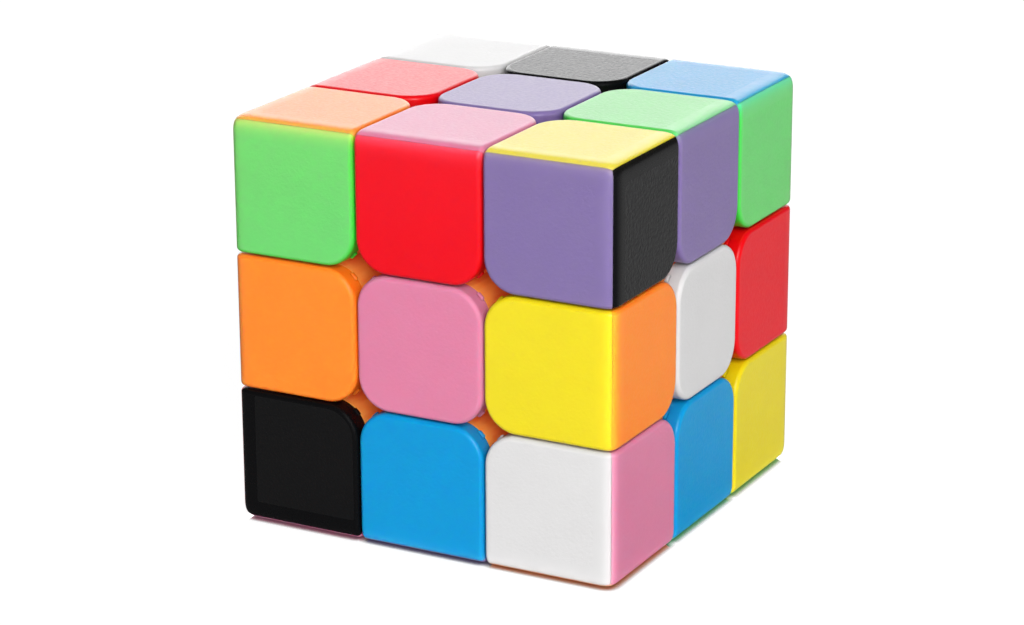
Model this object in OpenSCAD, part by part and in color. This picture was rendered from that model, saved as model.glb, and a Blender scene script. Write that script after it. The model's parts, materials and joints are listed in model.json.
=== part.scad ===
// A 3 x 3 x 3 twisty puzzle cube: 8 corners, 12 edges and 6 centres around a screwed core.
// The origin is the middle of the core. Every layer turns about an axis through it.

/* [Cube] */
// Outside length of the cube along each edge
cube_size = 56; // [54:1:60]
// Open gap between neighbouring cubies
cubie_gap = 0.25; // [0.2:0.05:0.4]
// Rounding of the tile corners that look towards the middle of a side
star_radius = 4.5; // [3:0.1:6]
// Rounding along the twelve outer edges of the cube
edge_radius = 1.5; // [0.6:0.1:2.2]

/* [Tiles] */
// Thickness of a tile's plate
plate = 1.6; // [1.4:0.1:1.8]
// Depth of a tile's skirt below the outer face
skirt = 2.6; // [2.2:0.1:3.2]
// Wall thickness of the skirt
skirt_wall = 0.8; // [0.6:0.1:0.9]
// Assembly gap between a tile and its base
fit_gap = 0.1; // [0.05:0.05:0.15]
// Width of the clip lug at a rounded tile corner
lug_width = 1.5; // [1:0.1:2.4]
// Height of the clip lug up from the foot of the skirt
lug_height = 0.8; // [0.5:0.1:1]
// How far the clip lug stands out from the skirt
lug_reach = 0.3; // [0.2:0.1:0.6]

/* [Bases] */
// Wall thickness of the hollow bases
base_wall = 1.6; // [1.4:0.1:2]
// Thickness of the neck shell outside the track
neck_shell = 1.5; // [1.2:0.1:2]

/* [Mechanism] */
// Distance from the middle of the cube at which the feet are parted
foot_plane = 6; // [5.8:0.1:7]
// Radius of the ball-shaped track that holds the feet
track_radius = 20; // [19:0.5:21]
// Gap on the ball-shaped track
track_gap = 0.4; // [0.3:0.1:0.6]
// Radius of the ball that the feet stay outside
hub_radius = 11.3; // [11:0.1:12]

/* [Core and centre screws] */
// Radius of the core's ball
core_radius = 9.4; // [8:0.1:10]
// Radius of a core post
post_radius = 3.4; // [3:0.1:4]
// Length of a core post from the middle of the cube
post_length = 11.2; // [10.5:0.1:11.2]
// Radius of a centre's stalk
stalk_radius = 5.2; // [4.8:0.1:5.4]
// Depth of the stalk's top below the centre's outer face
stalk_depth = 4; // [3.5:0.1:5]
// Thickness of the stalk's floor under the spring
stalk_floor = 1.6; // [1.2:0.1:2]
// Radius of the spring chamber in the stalk
chamber_radius = 3.6; // [3.5:0.1:3.8]
// Radius of the screw's shank
shank_radius = 1.45; // [1.3:0.05:1.5]
// Radius of the screw's head
head_radius = 2.9; // [2.7:0.1:3.1]
// Height of the screw's head
head_height = 1.8; // [1.5:0.1:2]
// Depth of the head's seat below the stalk's top
head_depth = 2.5; // [2.2:0.1:3]
// Length of each arm of the cross recess in the head
recess_length = 3.4; // [3:0.1:4]
// Width of each arm of the cross recess
recess_width = 0.8; // [0.6:0.1:1]
// Depth of the cross recess
recess_depth = 1.1; // [0.8:0.1:1.3]
// Thickness of the washer under the head
washer_height = 0.5; // [0.4:0.1:0.6]
// Radius of the spring's coil to the middle of its wire
coil_radius = 2.5; // [2.4:0.1:2.8]
// Radius of the spring's wire
wire_radius = 0.3; // [0.25:0.05:0.35]
// Number of turns in the spring
spring_turns = 5; // [4:1:7]

/* [Hidden] */

// Planes that part the layers, with half the gap on each side
half = cube_size / 2;
cut_plane = cube_size / 6;
cut_in = cut_plane - cubie_gap / 2;
cut_out = cut_plane + cubie_gap / 2;
foot_in = foot_plane - cubie_gap / 2;
foot_out = foot_plane + cubie_gap / 2;
track_in = track_radius - track_gap / 2;
track_out = track_radius + track_gap / 2;

// Top of the bases under the tile plates, and the ledge under the tile skirts
base_top = half - plate - fit_gap;
ledge = half - skirt - fit_gap;

// Heights up a centre's stalk and its screw
stalk_gap = 0.2;
slide_gap = 0.15;
stalk_foot = post_length + stalk_gap;
stalk_seat = stalk_foot + stalk_floor;
stalk_top = half - stalk_depth;
head_seat = stalk_top - head_depth;
spring_low = stalk_seat + slide_gap;
spring_high = head_seat - washer_height;
washer_radius = head_radius + 0.4;
shank_end = 5;
bore_end = 4.5;

// Half the gap between two tiles along their mitre
seam = 0.03;
// How far cutting shapes and buried ends run past the face they cross
over = 1;
past = 10;

// Steps round the curves
arc_steps = 8;
rim_steps = 4;
coil_steps = 12;
wire_sides = 6;
ball_sides = 96;
tube_sides = 48;

BASE_COLOUR = "#e8a184";
CORE_COLOUR = "#f2efe9";
STEEL_COLOUR = "#b9bcc0";
COLOURS = [
    ["white", "#e6e5e3"],
    ["black", "#1c1c1c"],
    ["red", "#f70925"],
    ["orange", "#ff9534"],
    ["yellow", "#f7e62f"],
    ["green", "#7ae07f"],
    ["blue", "#009fde"],
    ["purple", "#8f7ab4"],
    ["pink", "#e68aaa"]
];

// Each side lists its tiles as seen from outside, top row first, left to right.
// right and up are the directions of the side's columns and rows as seen that way.
SIDES = [
    ["up", [0, 0, 1], [1, 0, 0], [0, 1, 0], [
        ["white", "black", "blue"],
        ["red", "purple", "green"],
        ["orange", "pink", "yellow"]
    ]],
    ["down", [0, 0, -1], [1, 0, 0], [0, -1, 0], [
        ["pink", "purple", "orange"],
        ["yellow", "white", "green"],
        ["black", "red", "blue"]
    ]],
    ["front", [0, -1, 0], [1, 0, 0], [0, 0, 1], [
        ["green", "red", "purple"],
        ["orange", "pink", "yellow"],
        ["black", "blue", "white"]
    ]],
    ["back", [0, 1, 0], [-1, 0, 0], [0, 0, 1], [
        ["red", "orange", "pink"],
        ["black", "yellow", "blue"],
        ["white", "green", "purple"]
    ]],
    ["left", [-1, 0, 0], [0, -1, 0], [0, 0, 1], [
        ["yellow", "black", "blue"],
        ["purple", "green", "white"],
        ["orange", "pink", "red"]
    ]],
    ["right", [1, 0, 0], [0, 1, 0], [0, 0, 1], [
        ["black", "purple", "green"],
        ["orange", "white", "red"],
        ["pink", "blue", "yellow"]
    ]]
];

// A cubie is [name, tilt, turn]. It is drawn at its home place, tilted and then turned about Z.
// The home places are the up centre, the up-front edge and the up-front-right corner.
CENTRES = [
    ["up", [0, 0, 0], 0],
    ["down", [180, 0, 0], 0],
    ["front", [90, 0, 0], 0],
    ["right", [90, 0, 0], 90],
    ["back", [90, 0, 0], 180],
    ["left", [90, 0, 0], 270]
];
EDGES = [
    ["up_front", [0, 0, 0], 0],
    ["up_right", [0, 0, 0], 90],
    ["up_back", [0, 0, 0], 180],
    ["up_left", [0, 0, 0], 270],
    ["front_right", [0, 90, 0], 0],
    ["back_right", [0, 90, 0], 90],
    ["back_left", [0, 90, 0], 180],
    ["front_left", [0, 90, 0], 270],
    ["down_front", [90, 0, 0], 0],
    ["down_right", [90, 0, 0], 90],
    ["down_back", [90, 0, 0], 180],
    ["down_left", [90, 0, 0], 270]
];
CORNERS = [
    ["up_front_right", [0, 0, 0], 0],
    ["up_back_right", [0, 0, 0], 90],
    ["up_back_left", [0, 0, 0], 180],
    ["up_front_left", [0, 0, 0], 270],
    ["down_front_right", [90, 0, 0], 0],
    ["down_back_right", [90, 0, 0], 90],
    ["down_back_left", [90, 0, 0], 180],
    ["down_front_left", [90, 0, 0], 270]
];

// Turning vectors the way the cubies are placed

function turn_x(v, a) = [v.x, v.y * cos(a) - v.z * sin(a), v.y * sin(a) + v.z * cos(a)];
function turn_y(v, a) = [v.x * cos(a) + v.z * sin(a), v.y, v.z * cos(a) - v.x * sin(a)];
function turn_z(v, a) = [v.x * cos(a) - v.y * sin(a), v.x * sin(a) + v.y * cos(a), v.z];
function placed(v, cubie) = turn_z(turn_y(turn_x(v, cubie[1].x), cubie[1].y), cubie[2]);

// Colour of the tile of a cubie that faces the given way
function same_way(a, b) = a * b > 0.5;
function side_facing(way) = [for (s = SIDES) if (same_way(s[1], way)) s][0];
function tile_name(side, where) = side[4][round(1 - where * side[3])][round(1 + where * side[2])];
function tile_colour(way, where) = COLOURS[search([tile_name(side_facing(way), where)], COLOURS)[0]][1];

module place(cubie) {
    rotate([0, 0, cubie[2]]) rotate(cubie[1]) children();
}

// Carries the up side of the home edge to its front side
module other_side() {
    rotate([0, 180, 0]) rotate([90, 0, 0]) children();
}

// Carries the up side of the home corner to its right side, and on to its front side
module next_side(steps) {
    if (steps == 0) {
        children();
    } else {
        rotate([-90, 0, 0]) rotate([0, 90, 0]) next_side(steps - 1) children();
    }
}
function next_way(v, steps) = steps == 0 ? v : next_way(turn_x(turn_y(v, 90), -90), steps - 1);

// Outline of a cubie seen straight on to its up side, at column i (0 or 1) and row j (0 or -1).
// It is inset from the cut sides and runs out to reach on the sides at the cube's edge.

function arc(x, y, r, from) = [
    for (k = [0 : arc_steps])
        [x + r * cos(from + 90 * k / arc_steps), y + r * sin(from + 90 * k / arc_steps)]
];
function corner_of(x, y, from, r) = r > 0
    ? arc(x - r * sign(cos(from + 45)), y - r * sign(sin(from + 45)), r, from)
    : [[x, y]];

module outline(i, j, inset, reach) {
    x_low = i == 1 ? cut_out + inset : inset - cut_in;
    x_high = i == 1 ? reach : cut_in - inset;
    y_low = j == -1 ? -reach : inset - cut_in;
    y_high = j == -1 ? -cut_out - inset : cut_in - inset;
    r = star_radius - inset;
    polygon(concat(
        corner_of(x_high, y_high, 0, i == 0 ? r : 0),
        corner_of(x_low, y_high, 90, r),
        corner_of(x_low, y_low, 180, j == 0 ? r : 0),
        corner_of(x_high, y_low, 270, i == 0 && j == 0 ? r : 0)
    ));
}

module prism(i, j, inset, bottom, top, reach) {
    translate([0, 0, bottom]) linear_extrude(top - bottom) outline(i, j, inset, reach);
}

// Tiles

// Half of a rounded cube edge, cut along its mitre, seen along the edge
module rim_outline() {
    middle = half - edge_radius;
    first = 45 + asin(seam / edge_radius / sqrt(2));
    foot = half - 2 * skirt;
    polygon(concat(
        [[-half, foot], [foot - seam, foot]],
        [
            for (k = [0 : rim_steps])
                let (a = first + (90 - first) * k / rim_steps)
                    [middle + edge_radius * cos(a), middle + edge_radius * sin(a)]
        ],
        [[-half, half]]
    ));
}

module rim(turn) {
    rotate([0, 0, turn]) rotate([90, 0, 0]) linear_extrude(2 * cube_size, center = true) rim_outline();
}

// A lug at the bottom of the skirt, at the rounded corner in the given quadrant
module lug(x, y, turn) {
    translate([x, y, half - skirt]) rotate([0, 0, turn])
        translate([star_radius - skirt_wall, -lug_width / 2, 0])
            cube([skirt_wall + lug_reach, lug_width, lug_height]);
}

module lugs(i, j) {
    near = star_radius + cut_out;
    flank = cut_in - star_radius;
    if (i == 1) {
        lug(near, -near, 135);
    } else if (j == -1) {
        for (m = [0, 1])
            lug((1 - 2 * m) * flank, -near, 45 + 90 * m);
    } else {
        for (m = [0 : 3])
            rotate([0, 0, 90 * m]) lug(flank, flank, 45);
    }
}

module tile_blank(i, j) {
    difference() {
        prism(i, j, 0, half - skirt, half, half);
        prism(i, j, skirt_wall, half - skirt - over, half - plate, half + past);
    }
    lugs(i, j);
}

module centre_tile() {
    tile_blank(0, 0);
}

module edge_tile() {
    intersection() {
        tile_blank(0, -1);
        rim(-90);
    }
}

module corner_tile() {
    intersection() {
        tile_blank(1, -1);
        rim(0);
        rim(-90);
    }
}

// Bases

module skirt_room(i, j) {
    difference() {
        prism(i, j, -over, ledge, half + over, half + past);
        prism(i, j, skirt_wall + fit_gap, ledge - over, half + 2 * over, half + 2 * past);
    }
}

module ball(r) {
    sphere(r, $fn = ball_sides);
}

module tube_space(r, bottom, top) {
    translate([0, 0, bottom]) cylinder(h = top - bottom, r = r, $fn = tube_sides);
}

module centre_base() {
    difference() {
        union() {
            difference() {
                prism(0, 0, 0, foot_plane, base_top, half);
                ball(track_out);
                difference() {
                    prism(0, 0, base_wall, foot_plane, half, half);
                    ball(track_out + base_wall);
                }
            }
            tube_space(stalk_radius, stalk_foot, stalk_top);
        }
        skirt_room(0, 0);
        tube_space(chamber_radius, stalk_seat, half);
        tube_space(shank_radius + slide_gap, stalk_foot - over, stalk_seat + over);
    }
}

module edge_block(inset, bottom, top) {
    intersection() {
        prism(0, -1, inset, bottom, top, top);
        other_side() prism(0, -1, inset, bottom, top, top);
    }
}

module edge_wedge(width, low) {
    translate([-width, -half, low]) cube([2 * width, half - low, half - low]);
}

module edge_base() {
    difference() {
        union() {
            difference() {
                edge_block(0, cut_out, base_top);
                ball(track_out);
                difference() {
                    edge_block(base_wall, cut_out + base_wall, half + past);
                    ball(track_out + neck_shell);
                }
            }
            intersection() {
                edge_wedge(foot_in, cut_out);
                ball(track_out + neck_shell / 2);
            }
            intersection() {
                edge_wedge(foot_in, foot_out);
                ball(track_in);
            }
        }
        ball(hub_radius);
        skirt_room(0, -1);
        other_side() skirt_room(0, -1);
    }
}

module corner_block(inset, bottom, top) {
    intersection() {
        prism(1, -1, inset, bottom, top, top);
        next_side(1) prism(1, -1, inset, bottom, top, top);
        next_side(2) prism(1, -1, inset, bottom, top, top);
    }
}

module corner_wedge(low) {
    translate([low, -half, low]) cube(half - low);
}

module corner_base() {
    difference() {
        union() {
            difference() {
                corner_block(0, cut_out, base_top);
                difference() {
                    corner_block(base_wall, cut_out + base_wall, half + past);
                    ball(track_out + 2 * neck_shell);
                }
            }
            intersection() {
                corner_wedge(cut_out);
                ball(track_out + neck_shell);
            }
            intersection() {
                corner_wedge(foot_out);
                ball(track_in);
            }
        }
        ball(hub_radius);
        for (k = [0 : 2])
            next_side(k) skirt_room(1, -1);
    }
}

// Core, screws, springs and washers

module core() {
    color(CORE_COLOUR)
    difference() {
        union() {
            ball(core_radius);
            for (c = CENTRES)
                place(c) tube_space(post_radius, 0, post_length);
        }
        for (c = CENTRES)
            place(c) tube_space(shank_radius + fit_gap, bore_end, half);
    }
}

module screw() {
    difference() {
        union() {
            tube_space(shank_radius, shank_end, head_seat + over);
            tube_space(head_radius, head_seat, head_seat + head_height);
        }
        for (turn = [0, 90])
            rotate([0, 0, turn])
                translate([-recess_length / 2, -recess_width / 2, head_seat + head_height - recess_depth])
                    cube([recess_length, recess_width, half]);
    }
}

module washer() {
    difference() {
        tube_space(washer_radius, head_seat - washer_height, head_seat);
        tube_space(shank_radius + slide_gap, 0, half);
    }
}

module spring() {
    steps = spring_turns * coil_steps;
    rise = spring_high - spring_low - 2 * wire_radius;
    points = [
        for (s = [0 : steps], w = [0 : wire_sides - 1])
            let (
                a = 360 * s / coil_steps,
                b = 360 * w / wire_sides,
                r = coil_radius + wire_radius * cos(b)
            )
                [r * cos(a), r * sin(a), spring_low + wire_radius * (1 + sin(b)) + rise * s / steps]
    ];
    skin = [
        for (s = [0 : steps - 1], w = [0 : wire_sides - 1])
            let (
                p = s * wire_sides + w,
                q = s * wire_sides + (w + 1) % wire_sides
            )
                each [[p, q, q + wire_sides], [p, q + wire_sides, p + wire_sides]]
    ];
    ends = [
        [for (w = [0 : wire_sides - 1]) wire_sides - 1 - w],
        [for (w = [0 : wire_sides - 1]) steps * wire_sides + w]
    ];
    polyhedron(points, concat(skin, ends));
}

module centre_screws() {
    color(STEEL_COLOUR)
    for (c = CENTRES)
        place(c) screw();
}

module centre_springs() {
    color(STEEL_COLOUR)
    for (c = CENTRES)
        place(c) spring();
}

module centre_washers() {
    color(STEEL_COLOUR)
    for (c = CENTRES)
        place(c) washer();
}

// Cubies at their places

module centre_base_at(c) {
    color(BASE_COLOUR) place(c) centre_base();
}

module centre_tile_at(c) {
    way = placed([0, 0, 1], c);
    color(tile_colour(way, way)) place(c) centre_tile();
}

module edge_base_at(c) {
    color(BASE_COLOUR) place(c) edge_base();
}

module edge_tiles_at(c) {
    where = placed([0, -1, 1], c);
    color(tile_colour(placed([0, 0, 1], c), where)) place(c) edge_tile();
    color(tile_colour(placed([0, -1, 0], c), where)) place(c) other_side() edge_tile();
}

module corner_base_at(c) {
    color(BASE_COLOUR) place(c) corner_base();
}

module corner_tiles_at(c) {
    where = placed([1, -1, 1], c);
    for (k = [0 : 2])
        color(tile_colour(placed(next_way([0, 0, 1], k), c), where)) place(c) next_side(k) corner_tile();
}

core();
centre_screws();
centre_springs();
centre_washers();
for (c = CENTRES) {
    centre_base_at(c);
    centre_tile_at(c);
}
for (c = EDGES) {
    edge_base_at(c);
    edge_tiles_at(c);
}
for (c = CORNERS) {
    corner_base_at(c);
    corner_tiles_at(c);
}
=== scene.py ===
"""A twisty puzzle cube: 54 moulded tiles over the frame's mechanism, in a plain studio.

Tiles are built in millimetres, on the top side's unrolled plan, and turned onto the other sides."""
import json
import math
from collections import namedtuple

import bmesh
import bpy
from mathutils import Matrix, Vector
from mathutils.geometry import delaunay_2d_cdt

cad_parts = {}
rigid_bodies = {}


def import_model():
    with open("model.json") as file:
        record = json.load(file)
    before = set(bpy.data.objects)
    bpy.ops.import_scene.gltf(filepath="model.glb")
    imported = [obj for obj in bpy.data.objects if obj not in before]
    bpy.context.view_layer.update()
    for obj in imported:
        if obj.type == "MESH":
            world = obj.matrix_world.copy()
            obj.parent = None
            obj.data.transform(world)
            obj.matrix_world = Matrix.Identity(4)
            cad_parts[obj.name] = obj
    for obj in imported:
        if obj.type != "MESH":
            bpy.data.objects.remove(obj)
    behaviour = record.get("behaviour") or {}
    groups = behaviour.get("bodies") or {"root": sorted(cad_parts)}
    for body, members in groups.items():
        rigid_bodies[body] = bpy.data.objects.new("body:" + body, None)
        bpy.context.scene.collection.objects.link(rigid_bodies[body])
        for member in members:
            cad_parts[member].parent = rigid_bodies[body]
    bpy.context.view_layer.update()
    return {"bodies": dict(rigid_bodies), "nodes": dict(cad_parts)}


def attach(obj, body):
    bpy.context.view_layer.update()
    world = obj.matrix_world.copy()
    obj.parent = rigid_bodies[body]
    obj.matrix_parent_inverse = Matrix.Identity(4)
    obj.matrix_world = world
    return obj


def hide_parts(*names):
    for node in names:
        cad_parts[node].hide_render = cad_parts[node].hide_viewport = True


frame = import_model()
scene = bpy.context.scene

# ---------------------------------------------------------------- sizes, in millimetres
MM = 0.001
TINY = 1e-6
CLOSE_BY = 1e-5  # two points nearer than this are the same
CUT_PRECISION = 1e-7
CUT_INSIDE = 1  # keeps the triangles inside the outlines
MERGE_DIGITS = 4  # corners that agree to this many decimals are one
HALF = 28.0  # half the cube's edge
GAP = 0.25  # between two pieces
CUT_IN = HALF / 3 - GAP / 2
CUT_OUT = HALF / 3 + GAP / 2
STAR = 4.5  # corner radius where four tiles meet
RIM = 3.0  # how far the outer rounding reaches in from the cube's edge
POWER = 4.0  # of the superellipse that rounds it
FILLET = 0.62  # along the cut sides
BORDER = 0.68  # from the cut sides to the grained flat
FLAT_END = HALF - 2.8  # where the flat ends towards the cube's edge
FLAT_CORNER = 0.3
SKIRT = 2.6  # how deep the cut sides go
WALL = 0.8
PLATE = 1.6
SEAM = 0.03  # half the gap between two tiles of one piece
LUG_WIDTHS = (1.5, 1.0)  # at the skirt, and at the lug's end
LUG_HEIGHTS = (0.75, 0.5)
LUG_REACH = 0.25
LUG_BEVEL = 0.12
LUG_ROOT = WALL * 0.6  # how deep it starts in the wall
LUG_LIFT = 0.01
ARC_STEPS = 14
FILLET_STEPS = 7
RIM_STEPS = 8

X0 = HALF - RIM
RIM_END = 1 - SEAM * 2 ** (1 / POWER) / RIM
END = X0 + RIM * RIM_END
BREAK = HALF - SKIRT - SEAM
RIM_LINES = [X0 + RIM * RIM_END * k / RIM_STEPS for k in range(RIM_STEPS)]
MITRE = HALF - PLATE - SEAM

# ---------------------------------------------------------------- colours
# outward, right and up of each side as seen from outside, and its tiles, top row first
SIDES = {
    "up": ((0, 0, 1), (1, 0, 0), (0, 1, 0), "white black blue / red purple green / orange pink yellow"),
    "down": (
        (0, 0, -1), (1, 0, 0), (0, -1, 0), "pink purple orange / yellow white green / black red green",
    ),
    "front": ((0, -1, 0), (1, 0, 0), (0, 0, 1), "green red purple / orange pink yellow / black blue white"),
    "back": ((0, 1, 0), (-1, 0, 0), (0, 0, 1), "red orange pink / black yellow blue / white blue purple"),
    "left": ((-1, 0, 0), (0, -1, 0), (0, 0, 1), "blue black yellow / purple green white / orange pink red"),
    "right": ((1, 0, 0), (0, 1, 0), (0, 0, 1), "black purple green / orange white red / pink blue yellow"),
}
COLOURS = {
    "white": (0.640, 0.634, 0.634),
    "black": (0.0028, 0.0028, 0.0032),
    "red": (0.740, 0.0008, 0.0100),
    "orange": (0.980, 0.250, 0.022),
    "yellow": (0.745, 0.625, 0.016),
    "green": (0.153, 0.605, 0.160),
    "blue": (0.0003, 0.292, 0.600),
    "purple": (0.215, 0.160, 0.350),
    "pink": (0.650, 0.210, 0.342),
}
# painted light for how clear each plastic is: the share of a neighbour's colour painted in as glow at a
# mitre, how many millimetres it carries, and how much deeper the colour is painted down the cut sides as
# shade
PAINTED_GLOW_AND_SHADE = {
    "white": (0.20, 0.3, 0.0),
    "black": (0.01, 0.3, 0.0),
    "red": (0.50, 0.85, 0.3),
    "orange": (0.45, 0.85, 0.2),
    "yellow": (0.40, 0.6, 0.4),
    "green": (0.55, 0.9, 1.2),
    "blue": (0.30, 0.5, 0.1),
    "purple": (0.24, 0.4, 0.2),
    "pink": (0.30, 0.45, 0.0),
}
# painted shade: how much darker the colour is painted down the cut sides, where less light gets in
CUT_SIDE_PAINTED_SHADE = 0.2
# how much light the neighbour on each side has to pass on as painted glow, in the scene's light with no
# layer turned
LIT_SIDES = {"up": 1.0, "front": 1.0, "right": 1.0, "down": 0.6, "left": 0.15, "back": 0.15}
# the grain's scale, the roughness range, the bump's strength and distance, and the specular level
Finish = namedtuple("Finish", "grain roughness strength distance specular")
FLAT_FINISH = Finish(2100.0, (0.36, 0.46), 0.45, 0.0001, 0.5)
RIM_FINISH = Finish(500.0, (0.33, 0.40), 0.05, 0.0001, 0.5)
BLACK_FLAT_FINISH = Finish(2100.0, (0.36, 0.46), 1.0, 0.00015, 0.5)
BLACK_RIM_FINISH = Finish(500.0, (0.24, 0.30), 0.05, 0.00015, 0.22)
NOISE_SPREAD = (0.3, 0.7)  # where nearly all of a noise texture's values lie
UNEVEN = (0.985, 1.015)  # how much a tile's colour varies over its surface
OPAQUE = 0.05  # plastic darker than this lets no light in
BRIGHTEST = 0.99


# ---------------------------------------------------------------- the rounded outer surface
def clamp(x, limit):
    return max(-limit, min(limit, x))


def skin(u, v):
    """Point and outward normal of the outer surface, from a place on the side's unrolled plan."""
    a = max(abs(u) - X0, 0) / RIM
    b = max(abs(v) - X0, 0) / RIM
    reach = RIM / (a ** POWER + b ** POWER + 1) ** (1 / POWER)
    p = Vector((
        clamp(u, X0) + math.copysign(a * reach, u),
        clamp(v, X0) + math.copysign(b * reach, v),
        X0 + reach,
    ))
    n = Vector((math.copysign(a ** (POWER - 1), u), math.copysign(b ** (POWER - 1), v), 1))
    return p, n.normalized()


def outline(i, j, inset, outer, star, other=0.0):
    """Counterclockwise plan outline of the tile at column i (0 or 1) and row j (0 or -1).
    Cut sides are inset, outer sides end at outer. Each point has the cut side's outward
    direction, or None where it is on an outer side only."""
    x_low, x_high = (inset - CUT_IN, CUT_IN - inset) if i == 0 else (CUT_OUT + inset, outer)
    y_low, y_high = (inset - CUT_IN, CUT_IN - inset) if j == 0 else (-outer, -CUT_OUT - inset)
    points = []
    for sx, sy in ((1, 1), (-1, 1), (-1, -1), (1, -1)):
        x = x_high if sx > 0 else x_low
        y = y_high if sy > 0 else y_low
        x_cut = not (i == 1 and sx > 0)
        y_cut = not (j == -1 and sy < 0)
        r = star if x_cut and y_cut else other
        start = math.atan2(sy, sx) - math.pi / 4
        if r > 0:
            for k in range(ARC_STEPS + 1):
                a = start + math.pi / 2 * k / ARC_STEPS
                n = (math.cos(a), math.sin(a))
                out = n if x_cut and y_cut else None
                points.append((x - sx * r + r * n[0], y - sy * r + r * n[1], out))
        elif x_cut:
            points.append((x, y, (float(sx), 0.0)))
        elif y_cut:
            points.append((x, y, (0.0, float(sy))))
        else:
            points.append((x, y, None))
    return points


def with_breaks(points, lines):
    """Adds points on the outline's straight sides where they cross the rim lines."""
    made = []
    for k, (x, y, n) in enumerate(points):
        x2, y2, n2 = points[(k + 1) % len(points)]
        made.append((x, y, n))
        dx, dy = x2 - x, y2 - y
        if abs(dx) > TINY and abs(dy) > TINY:
            continue
        stops = []
        for line in lines:
            for place in (line, -line):
                if abs(dx) > TINY and TINY < (place - x) / dx < 1 - TINY:
                    stops.append((place - x) / dx)
                if abs(dy) > TINY and TINY < (place - y) / dy < 1 - TINY:
                    stops.append((place - y) / dy)
        side = None
        if n is not None and n2 is not None:
            side = (0.0, math.copysign(1, -dx)) if abs(dx) > TINY else (math.copysign(1, dy), 0.0)
        for f in sorted(stops):
            made.append((x + dx * f, y + dy * f, side))
    return made


# ---------------------------------------------------------------- a tile as a list of faces
# Each face is (corner points, corner normals or None, material index, how deep each corner is down
# the cut side, left out when all of it is).
def top_faces(i, j, edge):
    """The top, cut into triangles along the rim lines and the edge of the grained flat."""
    faces = []
    count = len(edge)
    flat = outline(i, j, BORDER, FLAT_END, STAR - BORDER, FLAT_CORNER)
    verts = [Vector((x, y)) for x, y, _ in edge] + [Vector((x, y)) for x, y, _ in flat]
    lines = [(k, (k + 1) % count) for k in range(count)]
    lines += [(count + k, count + (k + 1) % len(flat)) for k in range(len(flat))]
    for s in RIM_LINES:
        if j == -1:
            ends = [k for k in range(count) if abs(edge[k][1] + s) < TINY]
            lines.append((ends[0], ends[-1]))
        if i == 1:
            ends = [k for k in range(count) if abs(edge[k][0] - s) < TINY]
            lines.append((ends[0], ends[-1]))
    rings = [list(range(count)), [count + k for k in range(len(flat))]]
    cut = delaunay_2d_cdt(verts, lines, rings, CUT_INSIDE, CUT_PRECISION)
    for face, origin in zip(cut[2], cut[5]):
        plan = [cut[0][k] for k in face]
        area = sum(p.x * q.y - q.x * p.y for p, q in zip(plan, plan[1:] + plan[:1]))
        plan = plan if area > 0 else plan[::-1]
        at = [skin(p.x, p.y) for p in plan]
        faces.append(([p for p, _ in at], [n for _, n in at], 0 if 1 in origin else 1, [0.0] * len(at)))
    return faces


def cut_columns(i, j, edge):
    """Columns down the cut sides: the rows of the fillet, and the foot of the skirt. Where the
    column is past the mitre, its foot is on the mitre and it has no inner wall."""
    count = len(edge)
    on_outer = [
        (i == 1 and abs(x - END) < TINY) or (j == -1 and abs(y + END) < TINY) for x, y, _ in edge
    ]
    first = 0
    if any(on_outer):
        first = next(k for k in range(count) if on_outer[k] and not on_outer[(k + 1) % count])
    end, end_normal = skin(END, 0)
    end_depth = HALF - (end.z - FILLET * end_normal.z)
    columns = []
    for step in range(count + (0 if any(on_outer) else 1)):
        k = (first + step) % count
        x, y, side = edge[k]
        if side is None:
            continue
        if step and on_outer[k] and (not columns or on_outer[(k - 1) % count]):
            continue
        p, n = skin(x, y)
        out_dir = Vector((side[0], side[1], 0))
        centre = p - FILLET * n
        rows = []
        for r in range(FILLET_STEPS + 1):
            a = math.pi / 2 * r / FILLET_STEPS
            d = n * math.cos(a) + out_dir * math.sin(a)
            rows.append((centre + FILLET * d, d))
        column = {"plan": (x, y), "side": side, "rows": rows, "out": out_dir}
        foot = rows[-1][0]
        reach = max(abs(x) if i == 1 else 0, abs(y) if j == -1 else 0)
        column["past"] = reach > BREAK + TINY
        if column["past"]:
            share = (reach - BREAK) / (END - BREAK)
            depth = SKIRT + (end_depth - SKIRT) * share
            if abs(x) > abs(y) and i == 1:
                column["foot"] = Vector((HALF - depth - SEAM, foot.y, HALF - depth))
            else:
                column["foot"] = Vector((foot.x, -(HALF - depth - SEAM), HALF - depth))
            if share > 1 - TINY:
                column["foot"] = foot.copy()
        else:
            column["foot"] = Vector((foot.x, foot.y, HALF - SKIRT))
            inner = foot - WALL * out_dir
            column["inner"] = Vector((inner.x, inner.y, HALF - SKIRT))
            column["roof"] = Vector((inner.x, inner.y, HALF - PLATE))
        columns.append(column)
    return columns


def side_faces(columns):
    """The fillet, the skirt, its foot and its inner wall, between each two columns."""
    faces = []
    for a, b in zip(columns, columns[1:]):
        for r in range(FILLET_STEPS):
            quad = [a["rows"][r], a["rows"][r + 1], b["rows"][r + 1], b["rows"][r]]
            low, high = r / FILLET_STEPS, (r + 1) / FILLET_STEPS
            faces.append(([q[0] for q in quad], [q[1] for q in quad], 1, [low, high, high, low]))
        quad = [a["rows"][-1][0], a["foot"], b["foot"], b["rows"][-1][0]]
        faces.append((quad, [a["out"], a["out"], b["out"], b["out"]], 1))
        if not a["past"] and not b["past"]:
            faces.append(([a["foot"], a["inner"], b["inner"], b["foot"]], None, 1))
            faces.append((
                [a["inner"], a["roof"], b["roof"], b["inner"]],
                [-a["out"], -a["out"], -b["out"], -b["out"]], 1,
            ))
    return faces


def mitre_point(column):
    """Where the roof meets the mitre, level with a column."""
    if abs(column["side"][1]) > 0.5:
        return Vector((MITRE, column["roof"].y, HALF - PLATE))
    return Vector((column["roof"].x, -MITRE, HALF - PLATE))


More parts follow.
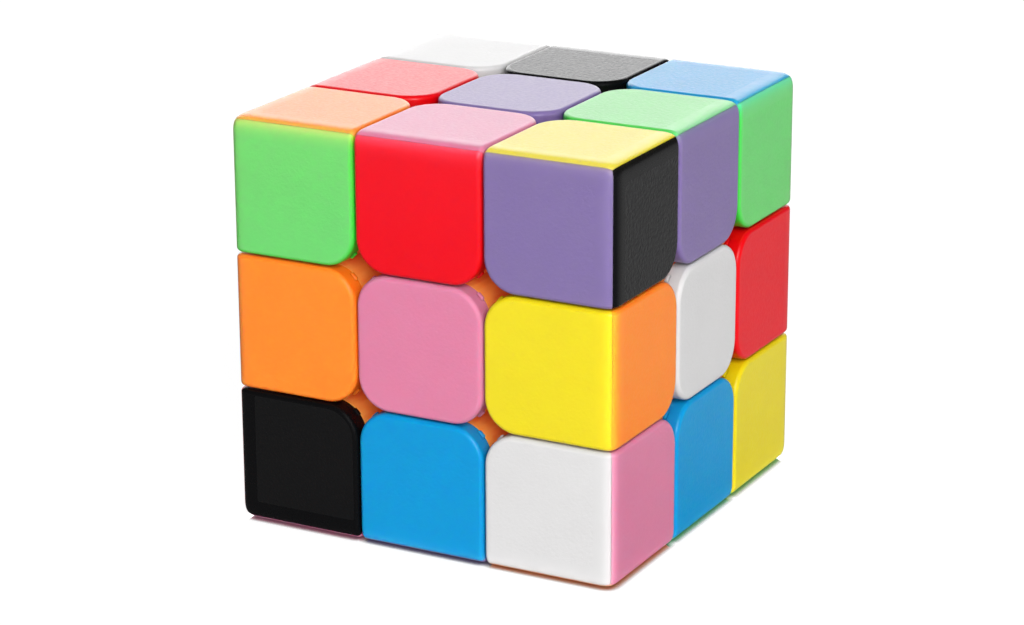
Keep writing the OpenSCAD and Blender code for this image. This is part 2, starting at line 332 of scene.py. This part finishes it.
def under_faces(i, j, edge, columns):
    """The roof under the top, and the mitred sides against the tiles round the cube's edges."""
    inside = [c for c in columns if not c["past"]]
    if i == 0 and j == 0:
        return [([c["roof"] for c in inside[:-1]][::-1], None, 1)]
    head, tail = inside[0], inside[-1]
    head_mitre, tail_mitre = mitre_point(head), mitre_point(tail)
    deep = Vector((MITRE, -MITRE, HALF - PLATE))
    corner = [deep] if i == 1 and j == -1 else []
    faces = [
        ([head["inner"], head_mitre, head["roof"]], None, 1),
        ([tail["inner"], tail["roof"], tail_mitre], None, 1),
        ([c["roof"] for c in inside][::-1] + [head_mitre] + corner + [tail_mitre], None, 1),
    ]

    head_side = [head["inner"], head["foot"]] + [c["foot"] for c in columns[:columns.index(head)][::-1]]
    head_side += [row[0] for row in columns[0]["rows"][::-1]][1:]
    tail_side = [row[0] for row in columns[-1]["rows"]]
    tail_side += [c["foot"] for c in columns[columns.index(tail) + 1:][::-1]][1:]
    tail_side += [tail["foot"], tail["inner"]]
    rim = []
    k = edge.index(next(e for e in edge if e[:2] == columns[-1]["plan"]))
    while edge[k][:2] != columns[0]["plan"]:
        k = (k + 1) % len(edge)
        rim.append(skin(edge[k][0], edge[k][1])[0])
    rim = rim[:-1]
    if corner:
        tip = skin(END, -END)[0]
        at = next(q for q, p in enumerate(rim) if (p - tip).length < CLOSE_BY)
        faces.append((tail_side + [tail_mitre, deep] + rim[:at + 1][::-1], None, 1))
        faces.append((head_side + rim[at:][::-1] + [deep, head_mitre], None, 1))
    else:
        faces.append((tail_side + [tail_mitre, head_mitre] + head_side + rim[::-1], None, 1))
    return faces


def tile_faces(i, j):
    edge = with_breaks(outline(i, j, FILLET, END, STAR - FILLET), [BREAK] + RIM_LINES)
    columns = cut_columns(i, j, edge)
    return top_faces(i, j, edge) + side_faces(columns) + under_faces(i, j, edge, columns)


def lug_places(i, j):
    """The centre of each star corner's arc, and the direction its lug points."""
    flank, near = CUT_IN - STAR, CUT_OUT + STAR
    if i == 1:
        return [(near, -near, 135)]
    if j == -1:
        return [(flank, -near, 45), (-flank, -near, 135)]
    return [(flank, flank, 45), (-flank, flank, 135), (-flank, -flank, 225), (flank, -flank, 315)]


def lug_faces(i, j):
    """The small rounded lugs at the foot of the skirt."""
    faces = []
    foot = HALF - SKIRT
    for x, y, turn in lug_places(i, j):
        bm = bmesh.new()
        bmesh.ops.create_cube(bm, size=1)
        for v in bm.verts:
            outer = v.co.x > 0
            v.co = Vector((
                STAR + LUG_REACH if outer else STAR - LUG_ROOT,
                v.co.y * LUG_WIDTHS[outer],
                foot + (LUG_LIFT if v.co.z < 0 else LUG_HEIGHTS[outer]),
            ))
        bmesh.ops.bevel(bm, geom=bm.edges[:], offset=LUG_BEVEL, segments=3, affect="EDGES", profile=0.5)
        bm.transform(Matrix.Translation((x, y, 0)) @ Matrix.Rotation(math.radians(turn), 4, "Z"))
        bmesh.ops.recalc_face_normals(bm, faces=bm.faces[:])
        bm.normal_update()
        for f in bm.faces:
            faces.append(([v.co.copy() for v in f.verts], [v.normal.copy() for v in f.verts], 1))
        bm.free()
    return faces


def mesh_from(name, faces, matrix, colour_with_painted_light):
    """One mesh from faces, with shared corners merged and the given corner normals kept.
    The colour attribute holds the plastic's colour at each corner, with painted glow and painted shade
    added."""
    index, verts, polys, normals, corner_colours_with_painted_light = {}, [], [], [], []
    turn = matrix.to_3x3().normalized()
    for points, directions, material, *deep in faces:
        ids = []
        kept = []
        for k, p in enumerate(points):
            key = tuple(round(c, MERGE_DIGITS) for c in p)
            if key not in index:
                index[key] = len(verts)
                verts.append(matrix @ p)
            if not ids or (ids[-1] != index[key] and (k < len(points) - 1 or ids[0] != index[key])):
                ids.append(index[key])
                kept.append(k)
        if len(ids) < 3:
            continue
        polys.append((ids, material))
        for k in kept:
            corner_colours_with_painted_light += [*colour_with_painted_light(points[k], deep[0][k] if deep else 1.0), 1.0]
        if directions is None:
            n = Vector((0, 0, 0))
            for a, b in zip(ids, ids[1:] + ids[:1]):
                n += verts[a].cross(verts[b])
            n.normalize()
            normals += [n] * len(ids)
        else:
            normals += [(turn @ directions[k]).normalized() for k in kept]
    mesh = bpy.data.meshes.new(name)
    mesh.from_pydata([tuple(v) for v in verts], [], [p for p, _ in polys])
    mesh.polygons.foreach_set("material_index", [m for _, m in polys])
    mesh.polygons.foreach_set("use_smooth", [True] * len(polys))
    # the corner colours carry painted glow from neighbouring tiles and painted shade down the cut sides
    mesh.attributes.new("colour_with_painted_light", "FLOAT_COLOR", "CORNER").data.foreach_set("color", corner_colours_with_painted_light)
    mesh.normals_split_custom_set([tuple(n) for n in normals])
    mesh.update()
    return mesh


# ---------------------------------------------------------------- materials
def new_material(name):
    """An empty Principled material, with its node tree, its shader and its object coordinates."""
    mat = bpy.data.materials.new(name)
    mat.use_nodes = True
    tree = mat.node_tree
    place = tree.nodes.new("ShaderNodeTexCoord")
    return mat, tree, tree.nodes["Principled BSDF"], place.outputs["Object"]


def noise(tree, place, scale, detail, roughness=0.5):
    made = tree.nodes.new("ShaderNodeTexNoise")
    tree.links.new(place, made.inputs["Vector"])
    for key, value in (("Scale", scale), ("Detail", detail), ("Roughness", roughness)):
        made.inputs[key].default_value = value
    return made.outputs["Fac"]


def ranged(tree, value, start, end):
    """Carries a value from one range to another."""
    made = tree.nodes.new("ShaderNodeMapRange")
    for key, bound in zip(("From Min", "From Max", "To Min", "To Max"), (*start, *end)):
        made.inputs[key].default_value = bound
    tree.links.new(value, made.inputs["Value"])
    return made.outputs["Result"]


def blend(tree, factor, low, high):
    """A colour between low and high."""
    made = tree.nodes.new("ShaderNodeMix")
    made.data_type = "RGBA"
    made.inputs["A"].default_value = (*low, 1)
    made.inputs["B"].default_value = (*high, 1)
    tree.links.new(factor, made.inputs["Factor"])
    return made.outputs["Result"]


def maths(tree, operation, *values):
    made = tree.nodes.new("ShaderNodeMath")
    made.operation = operation
    for socket, value in zip(made.inputs, values):
        if isinstance(value, float):
            socket.default_value = value
        else:
            tree.links.new(value, socket)
    return made.outputs["Value"]


def roughen(tree, shader, height, strength, distance):
    made = tree.nodes.new("ShaderNodeBump")
    made.inputs["Strength"].default_value = strength
    made.inputs["Distance"].default_value = distance
    tree.links.new(height, made.inputs["Height"])
    tree.links.new(made.outputs["Normal"], shader.inputs["Normal"])


def plastic(name, colour, finish):
    """Moulded plastic coloured by the tile's colour attribute, which carries painted glow and painted
    shade, and the given finish.
    """
    mat, tree, shader, place = new_material(name)
    cloud = noise(tree, place, scale=180.0, detail=3.0, roughness=0.55)
    level = ranged(tree, cloud, NOISE_SPREAD, UNEVEN)
    # reads the colour with its painted glow and painted shade
    colour_with_painted_light = tree.nodes.new("ShaderNodeAttribute")
    colour_with_painted_light.attribute_name = "colour_with_painted_light"
    tint = tree.nodes.new("ShaderNodeVectorMath")
    tint.operation = "SCALE"
    tree.links.new(colour_with_painted_light.outputs["Color"], tint.inputs[0])
    tree.links.new(level, tint.inputs["Scale"])
    tree.links.new(tint.outputs["Vector"], shader.inputs["Base Color"])

    grain = noise(tree, place, scale=finish.grain, detail=2.5, roughness=0.6)
    tree.links.new(ranged(tree, grain, NOISE_SPREAD, finish.roughness), shader.inputs["Roughness"])
    roughen(tree, shader, grain, finish.strength, finish.distance)
    shader.inputs["IOR"].default_value = 1.5
    shader.inputs["Specular IOR Level"].default_value = finish.specular
    shader.inputs["Subsurface Weight"].default_value = 0.0 if max(colour) < OPAQUE else 0.8
    shader.inputs["Subsurface Radius"].default_value = tuple(0.8 + 3.2 * (1 - c) ** 3 for c in colour)
    shader.inputs["Subsurface Scale"].default_value = MM
    return mat


def nylon(name, light, deep, roughness, scale, thin):
    """Plain moulded plastic. The thinner it is, the further light spreads inside it."""
    mat, tree, shader, place = new_material(name)
    cloud = noise(tree, place, scale, detail=4.0, roughness=0.6)
    tree.links.new(blend(tree, cloud, deep, light), shader.inputs["Base Color"])
    fine = noise(tree, place, scale * 9, detail=2.0)
    roughen(tree, shader, fine, strength=0.2, distance=0.00004)
    shader.inputs["Roughness"].default_value = roughness
    shader.inputs["Subsurface Weight"].default_value = thin
    shader.inputs["Subsurface Radius"].default_value = (1.0, 0.45, 0.25)
    shader.inputs["Subsurface Scale"].default_value = 3 * MM
    return mat


def steel(name, tone, roughness, scale):
    mat, tree, shader, place = new_material(name)
    streak = noise(tree, place, scale, detail=5.0, roughness=0.65)
    darker = [c * 0.82 for c in tone]
    tree.links.new(blend(tree, streak, darker, tone), shader.inputs["Base Color"])
    varied = ranged(tree, streak, (0.0, 1.0), (roughness * 0.7, roughness * 1.3))
    tree.links.new(varied, shader.inputs["Roughness"])
    roughen(tree, shader, streak, strength=0.15, distance=0.00003)
    shader.inputs["Metallic"].default_value = 1.0
    return mat


FLATS, RIMS = {}, {}
for colour, rgb in COLOURS.items():
    black = colour == "black"
    FLATS[colour] = plastic(f"{colour}_flat", rgb, BLACK_FLAT_FINISH if black else FLAT_FINISH)
    RIMS[colour] = plastic(f"{colour}_rim", rgb, BLACK_RIM_FINISH if black else RIM_FINISH)
BASE = nylon(
    "base_plastic", light=(0.99, 0.29, 0.06), deep=(0.98, 0.26, 0.05),
    roughness=0.36, scale=240.0, thin=0.9,
)
# painted glow: a faint emission on the inner plastic stands for light that reaches it through the tiles
# round it
base_shader = BASE.node_tree.nodes["Principled BSDF"]
base_shader.inputs["Emission Color"].default_value = (1.0, 0.25, 0.08, 1)
base_shader.inputs["Emission Strength"].default_value = 0.03
CORE = nylon(
    "core_nylon", light=(0.86, 0.84, 0.78), deep=(0.80, 0.78, 0.71),
    roughness=0.55, scale=300.0, thin=0.2,
)
SCREW = steel("screw_steel", tone=(0.50, 0.51, 0.53), roughness=0.34, scale=1400.0)
SPRING = steel("spring_steel", tone=(0.42, 0.43, 0.45), roughness=0.2, scale=900.0)


def paint(name, mat):
    o = frame["nodes"][name]
    o.data.materials.clear()
    o.data.materials.append(mat)


for name in frame["nodes"]:
    if name.endswith("_base"):
        paint(name, BASE)
paint("core", CORE)
paint("centre_screws", SCREW)
paint("centre_washers", SCREW)
paint("centre_springs", SPRING)

# ---------------------------------------------------------------- the 54 tiles
BODIES = {
    frozenset(b.split("_")[:-1]): b
    for b in frame["bodies"]
    if b.endswith(("_centre", "_edge", "_corner"))
}
BLANKS = {(i, j): tile_faces(i, j) + lug_faces(i, j) for i, j in ((0, 0), (0, -1), (1, -1))}


def tile_colour_with_painted_light(colour, beside, below):
    """The colour at a place on a tile, with painted light. The colours of the tiles moulded against it, at
    its x side and its y side, are painted in near the mitres as glow, for their light showing through the
    plastic, and painted shade makes the plastic deeper and darker down the cut sides."""
    own = COLOURS[colour]
    top = max(own)
    strength, fade, depth = PAINTED_GLOW_AND_SHADE[colour]

    def colour_with_painted_light(p, deep):
        # painted shade: deeper and darker colour down the cut sides
        made = [c * (c / top) ** (depth * deep) * (1 - CUT_SIDE_PAINTED_SHADE * deep) for c in own]
        # painted glow: the neighbours' colours added near the mitres, for their light through the plastic
        for other, gap in ((beside, p.z - p.x), (below, p.z + p.y)):
            if other:
                side, neighbour = other
                share = strength * LIT_SIDES[side] * math.exp(-max(gap, 0) / fade)
                made = [c + share * o for c, o in zip(made, COLOURS[neighbour])]
        return [min(c, BRIGHTEST) for c in made]

    return colour_with_painted_light


def home_of(i, j):
    """The blank of cell (i, j), and the quarter turns that carry it there."""
    if i == 0 and j == 0:
        return (0, 0), 0
    if i == 0 or j == 0:
        return (0, -1), {(0, -1): 0, (1, 0): 1, (0, 1): 2, (-1, 0): 3}[(i, j)]
    return (1, -1), {(1, -1): 0, (1, 1): 1, (-1, 1): 2, (-1, -1): 3}[(i, j)]


def tile_at(outward, where):
    """The side that faces outward, and the colour of its tile at a piece's place."""
    for side, (normal, right, up, rows) in SIDES.items():
        if Vector(normal).dot(outward) > 0.5:
            i, j = round(where.dot(Vector(right))), round(where.dot(Vector(up)))
            return side, rows.split("/")[1 - j].split()[i + 1]
    return None


for side, (outward, right, up, _) in SIDES.items():
    basis = Matrix((right, up, outward)).transposed().to_4x4()
    for j in (1, 0, -1):
        for i in (-1, 0, 1):
            where = Vector(outward) + i * Vector(right) + j * Vector(up)
            touching = frozenset(s for s, facing in SIDES.items() if where.dot(Vector(facing[0])) > 0.5)
            body = BODIES[touching]
            blank, quarter = home_of(i, j)
            turn = basis @ Matrix.Rotation(quarter * math.pi / 2, 4, "Z")
            colour = tile_at(Vector(outward), where)[1]
            beside = tile_at(turn @ Vector((1, 0, 0)), where) if blank[0] == 1 else None
            below = tile_at(turn @ Vector((0, -1, 0)), where) if blank[1] == -1 else None
            # the tile's colour, with painted glow from its mitre neighbours and painted shade down its cut
            # sides
            mesh = mesh_from(
                f"{body}_face_{side}", BLANKS[blank], Matrix.Scale(MM, 4) @ turn,
                tile_colour_with_painted_light(colour, beside, below),
            )
            tile = bpy.data.objects.new(mesh.name, mesh)
            scene.collection.objects.link(tile)
            tile.data.materials.append(FLATS[colour])
            tile.data.materials.append(RIMS[colour])
            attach(tile, body)
            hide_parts(f"{body}_tile" if body.endswith("_centre") else f"{body}_tiles")


# ---------------------------------------------------------------- camera
def around(azimuth, elevation, distance):
    """A place at the given angles in degrees, from the front towards the right and up."""
    a, e = math.radians(azimuth), math.radians(elevation)
    return distance * Vector((math.sin(a) * math.cos(e), -math.cos(a) * math.cos(e), math.sin(e)))


AZIMUTH, ELEVATION, ROLL = 28.1888, 17.8943, math.radians(-0.2268)
TARGET = Vector((-0.3649, -1.8101, -2.3278)) * MM
DISTANCE = 423.388 * MM

away = around(AZIMUTH, ELEVATION, 1)
across = Vector((math.cos(math.radians(AZIMUTH)), math.sin(math.radians(AZIMUTH)), 0))
above = away.cross(across)
x_axis = math.cos(ROLL) * across + math.sin(ROLL) * above
y_axis = -math.sin(ROLL) * across + math.cos(ROLL) * above
camera = bpy.data.objects.new("camera", bpy.data.cameras.new("camera"))
scene.collection.objects.link(camera)
camera.data.lens = 109.7985
camera.data.sensor_width = 36
camera.data.clip_start = 0.01
camera.data.clip_end = 100
pose = Matrix((x_axis, y_axis, away)).transposed().to_4x4()
pose.translation = TARGET + DISTANCE * away
camera.matrix_world = pose
scene.camera = camera
scene.view_settings.view_transform = "Standard"
scene.view_settings.look = "None"


# ---------------------------------------------------------------- floor and light
FLOOR_DROP = 0.00002  # metres under the cube
FLOOR_SEEN = 0.9  # how bright the camera sees it
NEAR_CUBE, NEAR_GLOW = (0.001, 0.004), (1.2, 0.4)  # metres to the plastic, and the light it gives there
BEHIND, BEHIND_GLOW = (0.0, 0.06), (0.0, 0.34)  # metres behind the middle, and the light in reflections
CONTACT, CONTACT_MIRROR = (0.75, 0.45), (0.0, 0.9)  # how open the floor is, and how much it mirrors


def panel(name, place, aim, width, height, radiance):
    """A soft box of the given radiance, from place to aim, in metres."""
    light = bpy.data.lights.new(name, "AREA")
    light.shape = "RECTANGLE"
    light.size, light.size_y = width, height
    light.energy = radiance * math.pi * width * height
    o = bpy.data.objects.new(name, light)
    o.location = place
    o.rotation_euler = (Vector(aim) - Vector(place)).to_track_quat("-Z", "Y").to_euler()
    scene.collection.objects.link(o)
    return o


def floor():
    """A pale floor. The camera sees it nearly white, darkened close to the cube as a painted contact
    shadow.
    It lights the plastic from below, more so close to, it is bright behind the cube in reflections, and it
    mirrors the lowest millimetre."""
    mesh = bpy.data.meshes.new("floor")
    bm = bmesh.new()
    bmesh.ops.create_grid(bm, x_segments=8, y_segments=8, size=4)
    bm.to_mesh(mesh)
    bm.free()
    o = bpy.data.objects.new("floor", mesh)
    o.location.z = -HALF * MM - FLOOR_DROP
    scene.collection.objects.link(o)

    mat, tree, shader, place = new_material("floor")
    link = tree.links.new
    shader.inputs["Base Color"].default_value = (0.15, 0.15, 0.15, 1)
    shader.inputs["Roughness"].default_value = 0.9
    shader.inputs["Specular IOR Level"].default_value = 0.1
    ray = tree.nodes.new("ShaderNodeLightPath").outputs
    near = tree.nodes.new("ShaderNodeAmbientOcclusion")
    near.samples = 6
    near.inputs["Distance"].default_value = MM
    axes = tree.nodes.new("ShaderNodeSeparateXYZ")
    link(place, axes.inputs["Vector"])

    # painted contact shadow: ambient occlusion darkens the white the camera sees near the cube
    camera_white_with_painted_shadow = maths(tree, "MULTIPLY", ray["Is Camera Ray"], near.outputs["AO"])
    close = ranged(tree, ray["Ray Length"], NEAR_CUBE, NEAR_GLOW)
    lit = maths(tree, "MULTIPLY", ray["Is Diffuse Ray"], close)
    behind = ranged(tree, axes.outputs["Y"], BEHIND, BEHIND_GLOW)
    mirrored = maths(tree, "MULTIPLY_ADD", behind, ray["Is Glossy Ray"], lit)
    glow = tree.nodes.new("ShaderNodeEmission")
    link(maths(tree, "MULTIPLY_ADD", camera_white_with_painted_shadow, FLOOR_SEEN, mirrored), glow.inputs["Strength"])
    matt = tree.nodes.new("ShaderNodeAddShader")
    link(shader.outputs["BSDF"], matt.inputs[0])
    link(glow.outputs["Emission"], matt.inputs[1])

    polished = tree.nodes.new("ShaderNodeBsdfGlossy")
    polished.inputs["Roughness"].default_value = 0.08
    both = tree.nodes.new("ShaderNodeMixShader")
    link(ranged(tree, near.outputs["AO"], CONTACT, CONTACT_MIRROR), both.inputs["Fac"])
    link(matt.outputs["Shader"], both.inputs[1])
    link(polished.outputs["BSDF"], both.inputs[2])
    link(both.outputs["Shader"], tree.nodes["Material Output"].inputs["Surface"])
    o.data.materials.append(mat)


floor()
panel("back_light", (-0.60, 1.0, 0.40), (0, 0, 0.05), width=1.3, height=1.05, radiance=3.08)
# the key lights the plastic, and a fainter panel in the same place makes its highlights, so that a
# view from the other side doesn't see the top as a mirror of the key
key_place = around(azimuth=38, elevation=26, distance=1.1)
key = panel("key_light", key_place, (0, 0, 0), width=0.7, height=0.7, radiance=12.4)
key.visible_glossy = False
glint = panel("glint_light", key_place, (0, 0, 0), width=0.5, height=0.5, radiance=8.0)
glint.visible_diffuse = False
world = bpy.data.worlds.new("studio")
scene.world = world
world.use_nodes = True
world.node_tree.nodes["Background"].inputs["Color"].default_value = (1, 1, 1, 1)
world.node_tree.nodes["Background"].inputs["Strength"].default_value = 0.07
